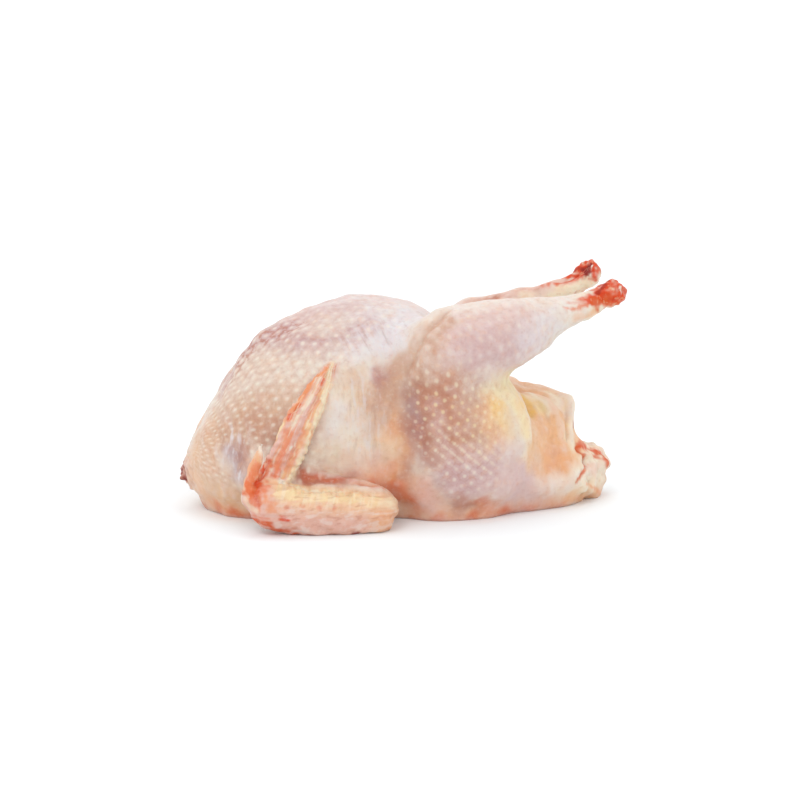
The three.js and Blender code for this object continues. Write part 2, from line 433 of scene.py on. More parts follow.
def follicle_height(tracts):
    height = 0
    for name, field in tracts.items():
        u, v, shown = field.T
        du, dv, own = nearest_follicle(u, v, TRACTS[name]["pitch"], TRACTS[name]["spacing"])
        height = height + shown * (0.6 + 0.4 * own) * bell(np.hypot(du, dv), FOLLICLE["radius"])
    return FOLLICLE["height"] * height


# ------------ relief

# Folds: how high they stand (below zero, how deep they lie), width, and the points they run through.
FOLDS = [
    (-0.25, 0.8, [(-27.5, 16, 43), (-16.5, 17.7, 47), (-6.5, 13.5, 50.7)]),
    (-0.55, 1.1, [(7.8, 25, 52.4), (4.3, 27.6, 50), (1.6, 29, 47), (-0.5, 29.7, 43.6), (-3, 28, 37)]),
    (0.35, 1.4, [(9.5, 26, 52.4), (3.8, 30, 47), (1.8, 31, 43.6), (-0.6, 29.5, 37)]),
    (0.35, 1.3, [(-4.2, 27.8, 23), (-4.2, 28, 16), (-5, 27, 10)]),
    (-0.3, 1.6, [(-2, 28.5, 14), (-2, 27, 8)]),
    (0.5, 1.3, [(27, 17, 33), (28.6, 22, 27.5), (28.8, 25, 20)]),
    (-0.6, 1.4, [(29, 11, 29), (30.5, 14.2, 26.7), (31.5, 16, 24.5)]),
    (0.55, 1.3, [(32.5, 6, 29), (34.5, 10, 27), (36.5, 12.5, 24)]),
    (-0.45, 0.9, [(36.7, 6.5, 28.3), (38.5, 10, 25.5)]),
    (0.4, 1.2, [(39, 6.5, 27.5), (40.3, 10, 23.5)]),
    (-0.5, 0.7, [(41.8, 6.7, 25.7), (42.3, 9, 24), (41.6, 12, 20.8), (40.8, 14.2, 17)]),
    (0.5, 1.2, [(43.8, 4, 25.5), (43.4, 10, 22), (42.4, 13.6, 17)]),
    (-0.7, 0.7, [(46.8, 12, 12), (46.4, 13.4, 10), (43, 17.5, 7)]),
    (-0.6, 0.6, [(44.3, 13, 14.6), (46.6, 11.9, 12.2)]),
    (-0.8, 0.8, [(-37.8, 27.5, 16.7), (-39.3, 31, 14), (-40.9, 34.6, 12.3)]),
    (-0.8, 1.1, [(-31, 29, 12.8), (-24.6, 30.2, 12.7), (-17.6, 31, 12.2), (-12, 31, 11.8)]),
    (-1.5, 3.4, [(-27, 33.5, 11.5), (-17, 34, 10.6), (-9, 34.5, 9.4)]),
    (-0.9, 2.8, [(-5.8, 33, 1.6), (-6.4, 37, 1.6)]),
    (-0.5, 0.7, [(-41, 35.5, 10.7), (-40.5, 37.1, 8.2)]),
]

# Where the flesh gives or fills out a little, in the same form but with y for the second number.
NUDGES = [
    (-1.9, 6.5, [(-51, 3, 27), (-45, 3, 35)]),
    (1.0, 4, [(-41, -3, 41), (-37, -3, 43.5)]),
    (-2.6, 5, [(4, 20, 45), (14, 20, 48), (24, 18, 50)]),
    (-3.6, 5.5, [(8, 25, 46.5), (14, 25.5, 48)]),
    (0.6, 4, [(-33, -2, 45), (-30, -2, 47)]),
    (1.0, 2.4, [(54.5, 13, 56), (53, 12, 53)]),
    (0.8, 2.5, [(45, -17, 50), (51, -16, 51.5)]),
    (-1.5, 2.2, [(46.5, 14, 55.3), (49, 13.5, 57.6), (50.6, 13, 59)]),
    (-0.3, 3.0, [(55.8, -16, 56.5), (55.6, -15, 53)]),
    (-2.2, 4, [(47, -8, 19), (50, 0, 17), (47, 8, 19)]),
    (-1.8, 4.5, [(27, -4, 31.5), (33, -3, 30.5)]),
    (1.0, 3.5, [(40, -5, 28), (44, -4, 26.5)]),
]

# Where a form lies aside of the solid's: how far, over what width, and around which point.
SHIFTS = [
    ((-0.9, 0, -0.9), 4.0, (-20, -23.5, 40.5)),
    ((1.9, 0, -0.3), 4.4, (51.5, 13, 57.5)),
]


def ridges(run, pitch):
    return np.cos(run * 2 * math.pi / pitch)


def raised(points, shapes):
    """How high folds or nudges stand together."""
    return sum(rise * bell(path_distance(points, path), width) for rise, width, path in shapes)


def hand_relief(points, limb):
    """Quills along the trailing edge, grooves along the bones, and the edge's web."""
    _, along, across = limb
    quills = ridges(along, pitch=1.9) * smoothstep(0.5, 0.9, across)
    wavering = across + 0.12 * noise(points, 6, seed=18)
    grooves = ridges(wavering, pitch=0.85) * (1 - smoothstep(0.4, 0.9, across))
    web = smoothstep(0.5, 1.0, across) * bell(along - 13, 11)
    return 0.08 * quills + 0.16 * grooves + 0.08 * noise(points, 1.4, seed=19) + 1.4 * web


def forearm_relief(points, limb):
    """Scallops along the upper edge, and slanting wrinkles."""
    _, along, across = limb
    scallops = ridges(along, pitch=1.5) * smoothstep(0.6, 0.95, across)
    slanted = points * [0.35, 1, 1] + points[:, [2, 1, 0]] * [0.5, 0, 0]
    return 0.1 * scallops + 0.08 * noise(slanted, 1.8, seed=20) + 0.1 * noise(points, 3.0, seed=28)


def relief(points, place, parts, limbs, tracts):
    """How far each point of the skin is pushed out, in millimetres."""
    x, _, z = place.T
    height = 0.2 * noise(points, 9, seed=11) + 0.05 * noise(points, 3.6, seed=12)
    height *= 1 - 0.7 * parts["wing"]
    height += follicle_height(tracts) + raised(place, FOLDS) + raised(points, NUDGES)

    flank = bell(path_distance(place, [(-16, 27, 14), (-14, 27, 30)]), 9)
    throat = bell(path_distance(place, [(-44, 18, 10), (-42, 20, 22)]), 7)
    upright = noise(points * [1, 1, 0.16], 2.0, seed=13)
    height += parts["trunk"] * (0.07 * flank + 0.14 * throat) * upright

    belly = smoothstep(29, 33, x) * (1 - smoothstep(44, 48, x)) * (1 - parts["leg"]) * smoothstep(4, 9, z)
    height += 0.16 * belly * noise(points * [1, 1, 0.3], 5.5, seed=14)
    height += parts["hand"] * hand_relief(points, limbs["hand"])
    height += parts["thumb"] * 0.12 * noise(points * [1, 1, 0.4], 1.6, seed=29)
    height += parts["forearm"] * forearm_relief(points, limbs["forearm"])

    tail = smoothstep(43, 46, x) * (1 - smoothstep(13, 17, z))
    height += tail * (0.45 * noise(points, 4.5, seed=16) + 0.1 * noise(points, 2.0, seed=17))
    ankle = smoothstep(47, 50, x) * smoothstep(42, 46, z)
    height += ankle * (0.22 * noise(points, 2.6, seed=21) + 0.09 * noise(points, 1.3, seed=22))
    stump = bell(path_distance(points, [(-52, 0, 9.4), (-56, 0, 9)]), 5)
    height += stump * (0.45 * noise(points, 2.4, seed=23) + 0.2 * noise(points, 1.2, seed=24))
    return height * smoothstep(0.1, 1.2, points[:, 2])


# ------------ paint

# Each stroke: colour, strength, part, width, and the points it runs through [x, out, z].
STROKES = [
    ("lilac", 0.65, "trunk", 11, [(-26, 0, 51), (-8, 0, 56), (4, 0, 52)]),
    ("frost", 0.35, "trunk", 8, [(-16, 0, 55), (-8, 6, 55), (4, 8, 52)]),
    ("mauve", 0.3, "trunk", 6, [(-36, 4, 43), (-22, 8, 50), (-14, 10, 52)]),
    ("frost", 0.8, "trunk", 6, [(-8.7, 16.5, 49), (-5.3, 18.7, 47), (1, 15, 50)]),
    ("frost", 0.6, "trunk", 5, [(-13, 21, 44), (-5, 22, 44)]),
    # Painted shade: soft mauve below the keel's crease, and a thin mauve line in the crease itself.
    ("mauve", 0.4, "trunk", 4.2, [(-27.5, 15, 44), (-21.5, 18.5, 44), (-11, 17, 48)]),
    ("mauve", 0.5, "trunk", 0.8, [(-27.5, 16, 43), (-21.5, 17.5, 45), (-16.5, 17.7, 47), (-11, 15.6, 49.3)]),
    ("mauve", 0.6, "trunk", 3.4, [(-30, 7, 46), (-35, 3, 43.5), (-42, 2, 37.5), (-45.5, 5, 33)]),
    ("mauve", 0.4, "trunk", 2.6, [(-33, 11, 43), (-25, 15, 43.5)]),
    ("sand", 0.25, "trunk", 9, [(-44, 14, 32), (-38, 16, 36)]),
    ("sand", 0.7, "trunk", 6, [(-44, 16, 24), (-38, 20, 26), (-34, 22, 27)]),
    ("tan", 0.45, "trunk", 7, [(-30, 25, 29), (-47, 13, 22)]),
    ("rust", 0.35, "trunk", 3.4, [(-40, 19, 25), (-34, 23, 22)]),
    ("slate", 0.75, "trunk", 3.0, [(-44.2, 17, 18), (-43.2, 20, 14), (-43, 24, 11)]),
    ("rust", 0.5, "trunk", 1.8, [(-42, 20, 19), (-41.5, 24, 14)]),
    ("umber", 0.5, "trunk", 1.5, [(-43.5, 19, 17), (-42.6, 23, 12.5)]),
    ("apricot", 0.5, "trunk", 6, [(-52, 9, 12), (-50, 8, 18)]),
    ("apricot", 0.5, "trunk", 4, [(-51, 9, 5), (-46, 16, 4)]),
    ("tan", 0.6, "trunk", 5, [(-51, 8, 16), (-49, 12, 10), (-46, 16, 8)]),
    ("sand", 0.4, "trunk", 4.5, [(-50, 12.5, 20), (-47, 15, 22)]),
    # Painted light: peach to lighten the low side below the neck, which faces down and lies in shade.
    ("peach", 0.5, "trunk", 3, [(-48, 16, 5), (-44, 19, 4.5)]),
    ("orange", 0.35, "trunk", 2.0, [(-50, 9, 1.6), (-46, 14, 1.2), (-40, 20, 1.2)]),
    ("mauve", 0.9, "trunk", 2.8, [(-8.2, 26, 36), (-9.4, 26.6, 32)]),
    ("rust", 0.45, "trunk", 2.4, [(-7, 26, 37), (-9.6, 26.6, 31)]),
    ("tan", 0.7, "trunk", 4, [(-16, 25, 35), (-13, 26, 31)]),
    ("sand", 0.75, "trunk", 4.6, [(-5.5, 27, 31), (-6, 27, 20)]),
    ("orange", 0.2, "trunk", 3.6, [(-5, 27, 29), (-5.5, 27, 14)]),
    ("cream", 0.2, "trunk", 4, [(-18, 26, 32), (-16, 26.6, 20)]),
    ("frost", 0.35, "trunk", 1.8, [(-19.5, 26, 29), (-20.5, 26.6, 23)]),
    ("tan", 0.25, "trunk", 4, [(-26, 26.5, 20), (-20, 26.5, 17)]),
    ("pink", 0.6, "trunk", 3, [(-17, 27, 16), (-9, 27, 15)]),
    ("orange", 0.2, "trunk", 2.2, [(-22, 28, 12), (-9, 27, 11)]),
    ("cream", 0.35, "trunk", 3.5, [(-20, 27, 17.5), (-15, 27, 17)]),
    # Painted shade: the rust, ember and umber strokes below run along the crevice between the forearm and
    # the body, where shade falls.
    ("rust", 0.9, "all", 1.6, [(-33, 28, 15), (-28, 29.2, 13.5), (-21, 30, 12.8), (-16, 29.6, 12.2)]),
    ("rust", 0.6, "trunk", 2.0, [(-29, 27.5, 13.6), (-23, 28, 12.8), (-17.5, 28, 12.2)]),
    ("ember", 0.55, "all", 1.5, [(-28, 29.5, 13), (-18, 31, 12.2), (-10, 32, 11)]),
    ("umber", 0.6, "all", 1.0, [(-33, 29, 14), (-28, 30, 12.9), (-18, 31.4, 12)]),
    ("sand", 0.75, "trunk", 4, [(-4, 27, 38), (-5, 27.6, 30)]),
    ("apricot", 0.4, "trunk", 4, [(-6, 27.6, 25), (-6, 27.8, 17)]),
    ("cream", 0.4, "trunk", 2.8, [(-7.9, 26.8, 21), (-6.7, 26.9, 17.4)]),
    ("cream", 0.4, "trunk", 2.0, [(-11.5, 26.4, 13.5)]),
    ("sand", 0.35, "trunk", 3, [(-11.2, 27.2, 26.3)]),
    ("orange", 0.25, "trunk", 1.8, [(-6.9, 27, 24.5), (-6.6, 27, 22.5)]),
    ("peach", 0.8, "trunk", 1.2, [(-4.4, 27.8, 22), (-4.4, 28, 16), (-5.6, 27, 10)]),
    ("orange", 0.5, "all", 4.2, [(-13, 27, 8.5), (-6, 27.5, 11), (-2, 27, 6)]),
    ("ember", 0.45, "all", 2.8, [(-11, 28, 8), (-6, 26, 7), (-1, 26.5, 4.5)]),
    ("coral", 0.5, "all", 3, [(-4, 27, 7), (-1, 27, 5.5)]),
    ("lilac", 0.85, "leg", 9, [(10, 32, 45), (24, 28, 47)]),
    ("pale", 0.7, "leg", 4.5, [(8, 24, 54), (20, 23, 55), (34, 19, 54), (40, 18, 53)]),
    ("frost", 0.6, "leg", 4, [(26, 29, 45), (34, 25, 49), (40, 20, 51)]),
    ("mauve", 0.4, "leg", 4.5, [(12, 33, 43), (22, 31, 44)]),
    ("sand", 0.75, "leg", 4.2, [(5, 28, 50), (2, 30, 46.5), (-0.5, 29.8, 42), (-2.4, 28.4, 36)]),
    ("sand", 0.6, "all", 2.6, [(6.7, 27.8, 51), (3.3, 28.8, 48.8), (0.4, 28.6, 46.4), (-3, 27.4, 39.7)]),
    ("sand", 0.55, "leg", 5, [(2, 31, 38), (8, 32, 36)]),
    # Painted shade: umber down the thigh's front edge, where it turns in towards the breast.
    ("umber", 0.9, "leg", 4.2, [(-0.8, 29.2, 32), (-0.6, 29.6, 24), (0.4, 29.8, 18)]),
    ("russet", 0.8, "leg", 6.5, [(5, 32, 32), (8, 32.5, 27), (9, 32.4, 19)]),
    ("rust", 0.35, "leg", 4.4, [(5, 32, 31), (8, 32.4, 22)]),
    # Painted shade: rust and slate along the same front edge of the thigh.
    ("rust", 0.8, "leg", 2.4, [(-0.6, 29.8, 24), (0.2, 29.9, 21.4), (1.3, 30.2, 17.5)]),
    ("slate", 0.35, "leg", 2.0, [(-1.2, 29.1, 31), (-1.2, 29, 27), (-0.7, 29.5, 23)]),
    ("mauve", 0.35, "leg", 3.2, [(1.5, 30.2, 16), (3.5, 30.6, 12)]),
    ("rust", 0.45, "all", 2.4, [(-3, 28.5, 25), (-3, 28.5, 17), (-3, 28, 12)]),
    ("lilac", 0.45, "leg", 1.5, [(4, 31.4, 31), (4, 31.4, 26), (6, 31.6, 20), (8, 31.8, 15)]),
    ("sand", 0.7, "leg", 5, [(14, 32.4, 30), (15, 32.3, 20)]),
    ("apricot", 0.7, "leg", 4, [(18, 31, 28), (20, 30.7, 22)]),
    ("lilac", 0.85, "all", 7, [(13, 31.5, 12), (20, 30, 12), (28, 24, 8)]),
    ("mauve", 0.4, "leg", 5, [(9, 31.5, 12), (16, 31, 13)]),
    ("lilac", 0.8, "all", 5, [(28, 24, 9), (34, 20, 4)]),
    ("mauve", 0.4, "all", 3, [(6, 31, 11), (10, 31, 8)]),
    ("pink", 0.8, "all", 3.0, [(1.6, 28.7, 8.5), (3.6, 27.5, 4.5)]),
    ("rust", 0.45, "all", 2.4, [(9.5, 29, 5.5), (15, 28, 4)]),
    ("rust", 0.5, "all", 1.8, [(10.5, 28.8, 4.5), (14, 28, 4)]),
    ("coral", 0.4, "all", 1.8, [(15.5, 28.4, 5.5), (18, 27, 3.5), (21, 25, 2.5)]),
    ("butter", 0.7, "leg", 5, [(20, 28, 32), (24, 27, 28)]),
    ("yellow", 0.5, "leg", 2.6, [(19.5, 29.5, 29), (22.5, 28.5, 24)]),
    ("butter", 0.8, "all", 3.4, [(23, 23, 35), (26, 24, 30), (27.5, 25, 22)]),
    ("cream", 0.6, "all", 1.8, [(27, 17, 33), (28.6, 22, 28), (28.8, 25, 21), (28, 26, 16)]),
    ("peach", 1.0, "trunk", 13, [(37, 12, 24), (41, 12, 14)]),
    ("apricot", 0.4, "trunk", 11, [(33, 10, 27), (41, 12, 18)]),
    ("peach", 0.8, "all", 2.6, [(29.5, 23.6, 20), (29.5, 24, 14)]),
    ("apricot", 0.55, "trunk", 6, [(35, 18, 18), (38.5, 17, 12.5)]),
    ("orange", 0.3, "trunk", 3.5, [(35.5, 18.5, 13), (39, 17, 12)]),
    ("apricot", 0.4, "trunk", 5, [(29, 3, 31), (42, 2, 28)]),
    ("butter", 0.7, "trunk", 2.6, [(29, 9, 29.5), (32, 12, 27.5), (34, 13, 25.5)]),
    ("yellow", 0.95, "trunk", 2.2, [(29.6, 11.5, 28.6), (30.6, 14.2, 26.6), (31.6, 15.8, 24.8)]),
    ("yellow", 0.5, "all", 1.5, [(26.1, 22.3, 30.6), (27.6, 22.6, 28)]),
    ("cream", 0.85, "trunk", 1.2, [(32.6, 6, 29), (34.6, 10, 27), (36.5, 12.5, 24)]),
    ("orange", 0.35, "trunk", 1.5, [(33, 4, 29.8), (36.7, 7.3, 28), (38.5, 10.5, 25)]),
    ("cream", 0.75, "trunk", 1.3, [(38.6, 5, 28), (40.3, 9.5, 24)]),
    ("yellow", 0.75, "trunk", 0.6, [(41.7, 6.7, 25.9), (42.2, 8.8, 24)]),
    ("yellow", 0.75, "trunk", 0.6, [(41.5, 12, 20.8), (40.8, 14.2, 17)]),
    ("cream", 0.8, "trunk", 1.8, [(44.2, 0, 26), (44.2, 4, 25), (43.5, 10.5, 21.6), (42.6, 13.5, 17)]),
    ("pale", 0.4, "trunk", 3, [(40.5, 8.6, 24.5), (42, 7, 24)]),
    ("cream", 0.35, "trunk", 3, [(36.5, 9, 28), (40, 6, 27)]),
    ("pale", 0.7, "trunk", 3, [(36, 19.6, 7), (40, 18.5, 5)]),
    ("cream", 0.8, "trunk", 7, [(49, 8, 8), (46.5, 14, 5)]),
    ("peach", 0.5, "trunk", 2.4, [(46, 14, 7.5), (51, 6, 6.5)]),
    ("bone", 0.6, "trunk", 4, [(45, 15.5, 9), (48, 11.5, 9.5), (51, 8, 8)]),
    ("peach", 0.7, "trunk", 2.2, [(43, 16.5, 2.5), (50, 9, 2)]),
    ("pink", 0.5, "trunk", 2, [(47.5, 12.5, 9), (50, 9, 8)]),
    ("cream", 0.7, "shin", 3.6, [(38, 19, 50), (46, 17, 51), (52, 15, 52)]),
    ("butter", 0.5, "shin", 2.6, [(44, 13, 50.5), (51, 12, 52)]),
    ("apricot", 0.7, "shin", 1.2, [(40.6, 21, 49.2), (44, 19.3, 50), (47.6, 17.3, 50.4)]),
    ("pink", 0.85, "far leg", 4.5, [(15, 19, 54), (27, 17, 55), (38, 14.6, 54.2), (45, 13, 54)]),
    ("russet", 0.25, "far leg", 4.5, [(15, 19, 54), (27, 17, 55), (38, 14.6, 54.2)]),
    ("rust", 0.8, "far leg", 1.8, [(15, 19.5, 54), (22.4, 18.1, 54.5), (33, 16.4, 54.6), (38, 14.6, 54.2)]),
    ("cream", 0.7, "far leg", 2, [(38, 13, 51.5), (45.4, 12.6, 51.7), (51, 13, 52)]),
    ("pink", 0.9, "trunk", 3.4, [(-53, 0, 9.4), (-56, 0, 9)]),
]

# Marks with a sharp edge, in the same form. On the hand and the forearm a point is
# [how far along, what share of the way across].
MARKS = [
    ("cream", 0.6, "hand", 0.7, [(30, -0.35), (24, -0.2), (14, -0.35), (5, -0.45)]),
    ("orange", 0.9, "hand", 0.8, [(37, -0.1), (31, -0.75), (27.5, -0.8), (19, -0.75)]),
    ("raw", 0.85, "hand", 0.5, [(18.9, -0.75), (20, -0.6)]),
    ("ember", 0.7, "hand", 0.45, [(20, -0.6), (23, -0.6)]),
    ("butter", 0.8, "hand", 0.3, [(18, -0.9), (13, -1.0), (6, -1.05)]),
    ("orange", 0.7, "hand", 0.8, [(35, -0.1), (27, 0.3), (20, 0.62), (12, 0.66), (5, 0.5)]),
    ("raw", 0.8, "hand", 0.35, [(29.7, 0.1)]),
    ("coral", 0.75, "hand", 1.1, [(16, -0.3), (12, -0.2), (6, -0.1)]),
    ("bone", 0.9, "hand", 0.3, [(12.3, 0.15)]),
    ("butter", 0.9, "hand", 1.5, [(38, 0.3), (30, 0.9), (23.5, 1.1), (10, 1.2), (5, 1.0)]),
    ("cream", 0.8, "hand", 1.0, [(38, 0.3), (30, 0.9), (23.5, 1.1), (10, 1.2), (5, 1.0)]),
    ("coral", 0.8, "hand", 1.4, [(0, -0.6), (3.5, -0.1)]),
    ("cream", 0.95, "all", 0.9, [(-34, 32.4, 12), (-27, 33, 11), (-18, 34, 9.9), (-12, 35.6, 8.6)]),
    ("cream", 0.8, "all", 0.9, [(-12, 35.6, 8.6), (-8.5, 36.6, 7), (-6.4, 36.4, 5.4)]),
    ("butter", 0.6, "forearm", 1.6, [(24.5, 0.75), (16, 0.75), (7, 0.75), (1, 0.6)]),
    ("ember", 0.45, "forearm", 0.7, [(22.5, 0.18)]),
    ("ember", 0.45, "forearm", 0.7, [(18.7, 0.26)]),
    ("ember", 0.5, "forearm", 0.7, [(14.8, 0.28)]),
    ("ember", 0.5, "forearm", 0.7, [(11.5, 0.33)]),
    ("ember", 0.4, "forearm", 0.6, [(10.4, 0.82)]),
    ("orange", 0.35, "forearm", 2.4, [(-1, 0.1), (0, -0.5)]),
    ("ember", 0.95, "forearm", 0.9, [(28, -0.5), (26, -0.75), (24.4, -0.98), (19.7, -0.98), (0, -1.0)]),
    ("raw", 0.9, "forearm", 0.7, [(22.2, -0.42), (23.4, -0.42)]),
    ("blood", 0.85, "forearm", 0.6, [(5.2, -0.66), (6.3, -0.66)]),
    ("blood", 0.8, "forearm", 0.5, [(-0.5, -0.85), (0.8, -0.85)]),
    ("coral", 0.75, "all", 2.6, [(-40.2, 34.8, 11.9), (-41.4, 36, 9)]),
    ("ember", 0.9, "all", 1.7, [(-37.8, 27.5, 16.7), (-39.3, 31, 14), (-41.2, 34.6, 11.5)]),
    ("coral", 0.8, "thumb", 1.8, [(-42.2, 34.6, 12), (-40.6, 34.3, 17)]),
    ("peach", 0.6, "thumb", 0.6, [(-43.2, 34, 15), (-41, 34, 19.5)]),
    ("coral", 0.9, "all", 1.3, [(-43, 35, 12.6), (-42.6, 35.4, 10.4)]),
    ("raw", 0.8, "all", 0.7, [(-38.3, 29, 16), (-39.6, 32, 14), (-40.6, 34.5, 12.6)]),
    ("bone", 1.0, "all", 1.1, [(-39.5, 33.2, 21.2), (-39, 33.2, 24)]),
    ("ember", 0.8, "all", 0.8, [(-41, 35.5, 10.7), (-40.5, 37.1, 8.2)]),
    ("orange", 0.6, "all", 1.4, [(-39, 36.8, 9.5), (-37.6, 37.6, 7.6)]),
    ("cream", 0.55, "all", 0.7, [(-43.3, 35, 9.5), (-42.4, 35.4, 7), (-41, 36.8, 6.6)]),
    ("bone", 0.95, "all", 0.9, [(-34.3, 32, 12.6), (-33.5, 32.5, 12.4)]),
    ("ember", 0.85, "shin", 4.4, [(51.7, 14.2, 55.2), (55, 14.2, 55)]),
    ("ember", 0.5, "shin", 3.0, [(49, 16.5, 54.5), (53, 17, 54)]),
    ("ember", 0.7, "shin", 1.3, [(47, 18, 53), (50, 17.8, 52.8), (54, 17, 52.8)]),
    ("raw", 0.95, "shin", 1.2, [(43.9, 19, 53.3), (45.5, 18.4, 53.8), (48.8, 17.4, 54.9)]),
    ("ember", 0.9, "shin", 1.5, [(47, 18, 52.9), (50.5, 17.6, 53.7), (53, 18, 53.8)]),
    ("raw", 0.95, "shin", 1.4, [(48.3, 17, 55), (49.8, 15.5, 56.7), (51, 13.5, 57.5)]),
    ("raw", 0.5, "shin", 2.4, [(51.5, 17, 56), (53.5, 17, 56)]),
    ("peach", 0.6, "shin", 0.4, [(51, 17, 56.2), (52, 17.3, 55.6)]),
    ("raw", 0.9, "shin", 1.1, [(54.6, 15.5, 56.5), (55.4, 16, 54.6)]),
    ("blood", 0.6, "shin", 0.6, [(47.6, 17.4, 55), (50, 15.4, 56.8)]),
    ("blood", 0.5, "shin", 0.5, [(50.6, 18, 53.4), (53.6, 18, 53.2)]),
    ("cream", 0.6, "shin", 0.3, [(51.6, 17.4, 56), (52.4, 17.6, 54.9)]),
    ("bone", 0.8, "shin", 0.25, [(53.4, 17.5, 56.2), (54.2, 18, 54.3)]),
    ("raw", 0.8, "shin", 1.3, [(52, 18, 53.4), (54, 17.6, 53.4)]),
    ("cream", 0.8, "shin", 0.6, [(50, 16, 51), (53.7, 16, 51.3)]),
    ("coral", 0.7, "shin", 0.45, [(38.2, 21.9, 51.8), (41.1, 20.7, 51.6), (44.5, 19.2, 52.2)]),
    ("pink", 0.8, "shin", 0.5, [(39.5, 20.3, 53), (44, 19.2, 53)]),
    ("raw", 0.95, "shin", 2.6, [(49, 12, 56.8), (51, 11.4, 57.2), (53, 11.6, 58)]),
    ("blood", 1.0, "shin", 1.6, [(50.2, 12.8, 57.7), (51, 12.3, 57.2), (51.2, 11, 55.8)]),
    ("cream", 0.95, "far leg", 1.9, [(44, 12.4, 51.4), (49, 11.6, 52.4), (54.5, 11, 52.2)]),
    ("raw", 0.95, "shin", 1.1, [(53.2, 10.6, 57), (53, 10.4, 54)]),
    ("bone", 1.0, "shin", 0.4, [(52.3, 11.4, 57.2), (51.9, 10.6, 54.4)]),
    ("ember", 0.85, "shin", 0.8, [(49, 12, 56.2), (46.4, 13, 55.6), (41, 14.4, 55)]),
    ("ember", 0.8, "trunk", 1.3, [(45.4, 12, 15.2), (47.6, 9.4, 14.6)]),
    ("ember", 0.85, "trunk", 0.6, [(44.3, 13, 14.8), (46, 11.6, 15.2), (47.8, 9.2, 14.4)]),
    ("ember", 0.85, "trunk", 0.5, [(44.3, 13, 14.6), (46.6, 11.9, 12.2)]),
    ("ember", 0.7, "trunk", 0.4, [(47.8, 9.3, 14), (51.5, 5, 12.6)]),
    ("ember", 0.95, "trunk", 1.7, [(51.4, 6.6, 12.6), (52.6, 5.4, 11.6), (53.8, 5.8, 9.8)]),
    ("ember", 0.8, "trunk", 0.45, [(46.6, 13.2, 10.4), (45.2, 15.4, 8.8), (42.9, 17.4, 7)]),
    ("orange", 0.6, "trunk", 0.4, [(46, 15, 5.8), (51.6, 6, 2.6)]),
    ("rust", 0.8, "near trunk", 0.6, [(44.8, 9.4, 21.4), (45, 9.8, 20)]),
    ("blood", 0.9, "trunk", 2.6, [(-54, 0, 9.4), (-57, 0, 9)]),
]

LIMB_RADII = {"hand": 3.3, "forearm": 5.4}  # with which a share of the way across becomes a length


def linear(colour):
    """A screen colour as the amount of light it sends back."""
    share = np.array(colour, float) / 255
    return GAIN * np.where(share <= 0.04045, share / 12.92, ((share + 0.055) / 1.055) ** 2.4)


def patch(distance, width):
    return 1 - smoothstep(0.3 * width, 1.6 * width, distance)


def flattened(limb, radius):
    """A limb's places along and across, laid out flat."""
    return np.stack([limb.along, limb.across * radius, np.zeros(len(limb.along))], 1)


def paint(points, place, parts, limbs, hollow):
    """The skin's colour at each point, with painted shade in hollows, creases and the crevice above the
    forearm, and painted light on ridges and below the neck.
    """
    x, _, z = place.T
    colour = np.tile(linear(PALETTE["skin"]), (len(points), 1))

    def lay(name, weight):
        nonlocal colour
        weight = np.clip(weight, 0, 1)[:, None]
        colour = colour * (1 - weight) + linear(PALETTE[name]) * weight

    far = points[:, 1] > 0
    parts = {**parts, "far leg": parts["leg"] * far, "near trunk": parts["trunk"] * (1 - far)}
    wobbly = place + 0.6 * np.stack([noise(points, 5, seed) for seed in (31, 32, 33)], 1)
    lay("apricot", 0.4 * parts["trunk"] * (1 - smoothstep(2, 20, z)))
    for name, strength, part, width, path in STROKES:
        lay(name, strength * parts[part] * patch(path_distance(wobbly, path), width))

    _, along, across = limbs["forearm"]
    underside = (1 - smoothstep(-0.35, 0.4, across)) * smoothstep(-1, 5, along)
    lay("pink", parts["hand"])
    lay("apricot", 0.9 * parts["thumb"])
    lay("apricot", 0.7 * parts["forearm"])
    lay("peach", 0.7 * parts["forearm"] * smoothstep(0.5, 0.9, across))
    lay("pink", 0.9 * parts["forearm"] * underside)
    lay("pink", 0.8 * patch(path_distance(wobbly, [(-42, 35, 7), (-39, 37, 9)]), 4))

    body = 1 - parts["wing"]
    height = z + 0.5 * noise(points, 5, seed=37)
    # Painted shade: rust-brown laid into hollows and folds, more at the tail, for the shade that falls
    # there.
    lay("rust", (0.25 + 0.4 * smoothstep(43, 45, x)) * smoothstep(0.06, 0.3, hollow))
    lay("orange", 0.5 * body * (1 - smoothstep(1.5, 4.2, height)))
    lay("ember", 0.7 * body * (1 - smoothstep(1.4, 3.0, height)) * (1 - smoothstep(38, 42, x)))
    # Painted highlight: pale laid on ridges and bumps, where the light catches.
    lay("pale", 0.35 * smoothstep(0.05, 0.25, -hollow))

    ragged = noise(points, 1.6, seed=34)
    for name, strength, part, width, path in MARKS:
        if part in LIMB_RADII:
            radius, inner = LIMB_RADII[part], 0.3
            flat = flattened(limbs[part], radius)
            distance = path_distance(flat, [(run, side * radius, 0.0) for run, side in path])
            frayed = noise(flat * [0.3, 1, 0], 0.9, seed=38)
        else:
            distance, frayed, inner = path_distance(place, path), ragged, 0.45
        edge = distance / width + 0.25 * frayed
        lay(name, strength * parts[part] * (1 - smoothstep(inner, 1.5, edge)))

    blotch = 0.02 * noise(points, 5, seed=35) + 0.015 * noise(points, 2.2, seed=36)
    return np.clip(colour * (1 + blotch[:, None] * [0.4, 1.0, 1.3]), 0, 1)


def layers_of(place, parts):
    """How strongly the net between follicles, warm dots and streaks show, and where ankles and tail are."""
    net = 0.25 * parts["trunk"] + 0.25 * parts["leg"]
    net = np.maximum(net, patch(path_distance(place, [(-28, 8, 47), (-36, 4, 43), (-45, 5, 33)]), 4))
    warm = bell(path_distance(place, [(5, 32, 30), (16, 32, 24)]), 8)
    streaks = parts["leg"] * bell(path_distance(place, [(7, 32, 19), (17, 31.5, 15)]), 4.5)
    ends = smoothstep(42, 47, place[:, 0])
    return np.stack([net, warm, streaks, ends], 1)


